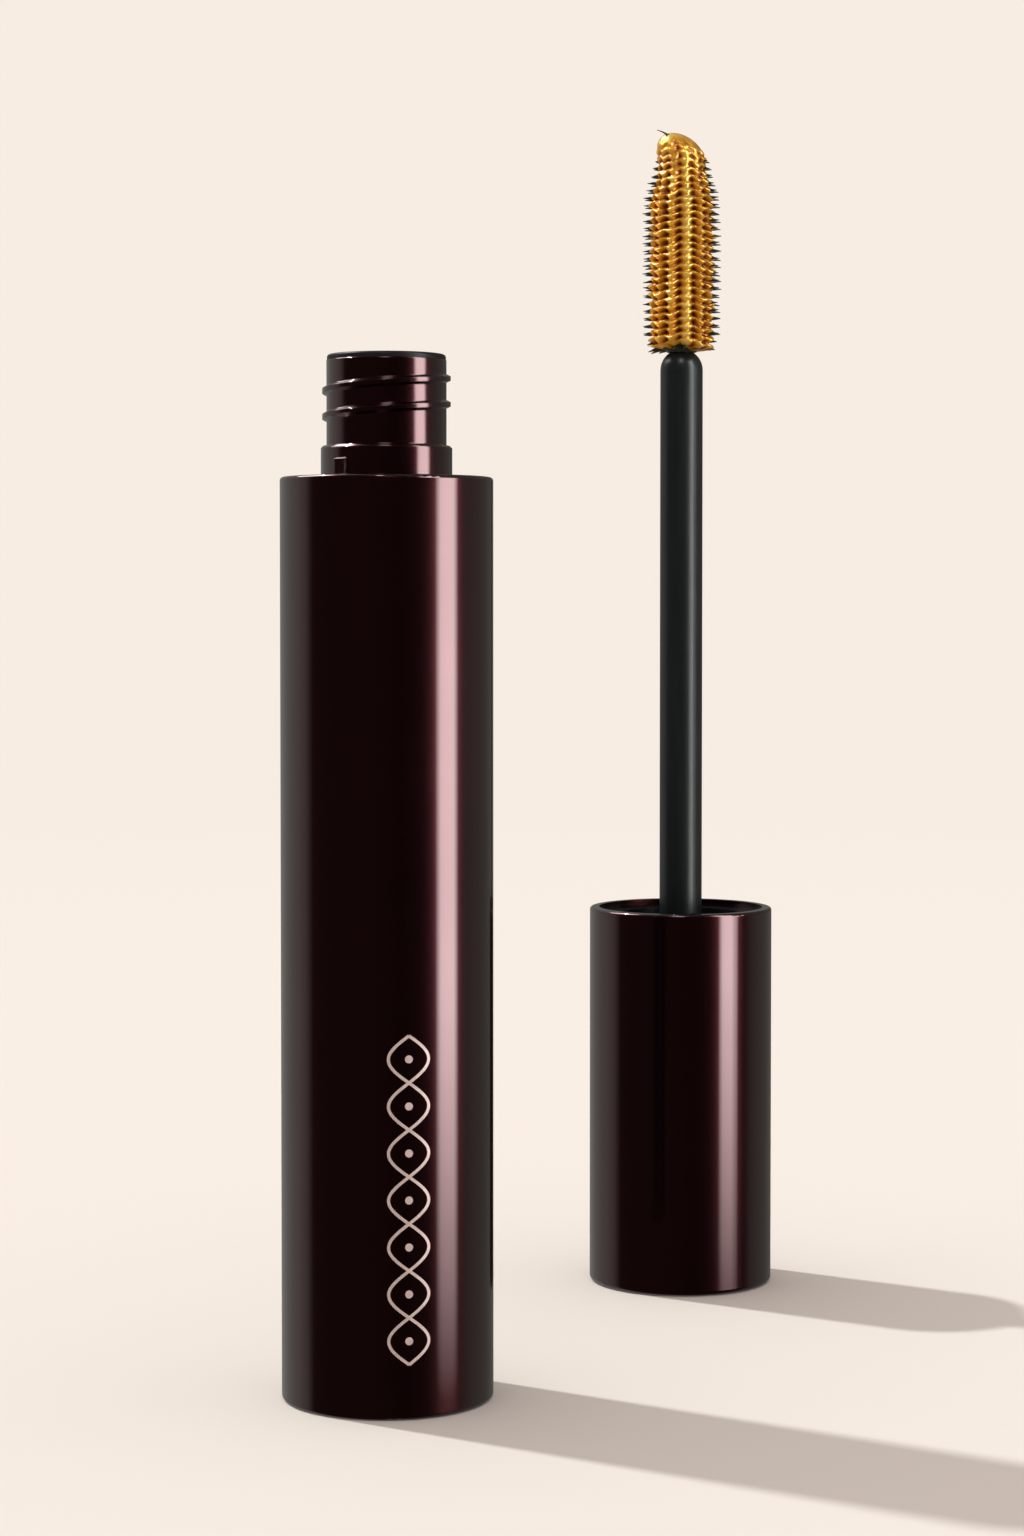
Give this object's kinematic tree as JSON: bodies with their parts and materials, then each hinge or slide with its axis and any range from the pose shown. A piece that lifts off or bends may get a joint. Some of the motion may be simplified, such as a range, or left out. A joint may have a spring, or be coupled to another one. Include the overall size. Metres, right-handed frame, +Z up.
{
  "type": "mascara tube",
  "caption": "Slim cylindrical mascara bottle with a screw neck and wiper, and its cap with stem and moulded brush standing beside it.",
  "frame": {"origin": "centre of the bottle's base, on the surface it stands on", "axes": "+Z up along the bottle's axis, +X to the right and -Y towards the front; the cap with its stem and brush stands upside down behind and to the right"},
  "size_m": [0.0466, 0.0678, 0.1167],
  "materials": {
    "metallised_shell": "glossy metallised lacquer, very dark burgundy",
    "neck_plastic": "glossy dark burgundy moulding",
    "black_plastic": "black, smooth",
    "stem_plastic": "black, satin",
    "wiper_plastic": "black, soft and flexible",
    "liner_foam": "fine closed-cell foam",
    "weight_steel": "plain turned steel",
    "bristle_plastic": "dark flexible elastomer",
    "mascara_gold": "thick glossy ochre-gold paste",
    "foil": "rose-gold hot foil",
    "label_paper": "printed shade sticker"
  },
  "bodies": {
    "bottle": {"outer_sleeve": "metallised_shell", "base_plug": "black_plastic", "shade_label": "label_paper", "vial": "neck_plastic", "wiper": "wiper_plastic", "mascara_fill": "mascara_gold"},
    "applicator_carrier": {"brush_core_wire": "weight_steel"},
    "applicator_slider": {"cap_weight": "weight_steel"},
    "applicator_screw": {"liner_seal": "liner_foam"},
    "applicator": {"cap_shell": "metallised_shell", "inner_cap": "black_plastic", "stem": "stem_plastic", "brush_core": "stem_plastic", "bristle_sleeve": "bristle_plastic"}
  },
  "joints": [
    {"name": "applicator_turn_over", "type": "hinge", "parent": "bottle", "child": "applicator_carrier", "pos_m": [0.01404, 0.02466, 0.1048], "axis": [0.869, -0.4948, 0], "range_deg": [0, 180]},
    {"name": "applicator_insert", "type": "slide", "parent": "applicator_carrier", "child": "applicator_slider", "axis": [0, 0, 1], "range_m": [0, 0.08644]},
    {"name": "screw_advance", "type": "slide", "parent": "applicator_slider", "child": "applicator_screw", "axis": [0, 0, 1], "range_m": [0, 0.00446]},
    {"name": "cap_turn", "type": "hinge", "parent": "applicator_screw", "child": "applicator", "pos_m": [0.02808, 0.04932, 0], "axis": [0, 0, 1], "range_deg": [0, 720]}
  ],
  "couplings": [
    {"joint": "screw_advance", "follows": "cap_turn", "m_per_rad": 0.00035492}
  ]
}
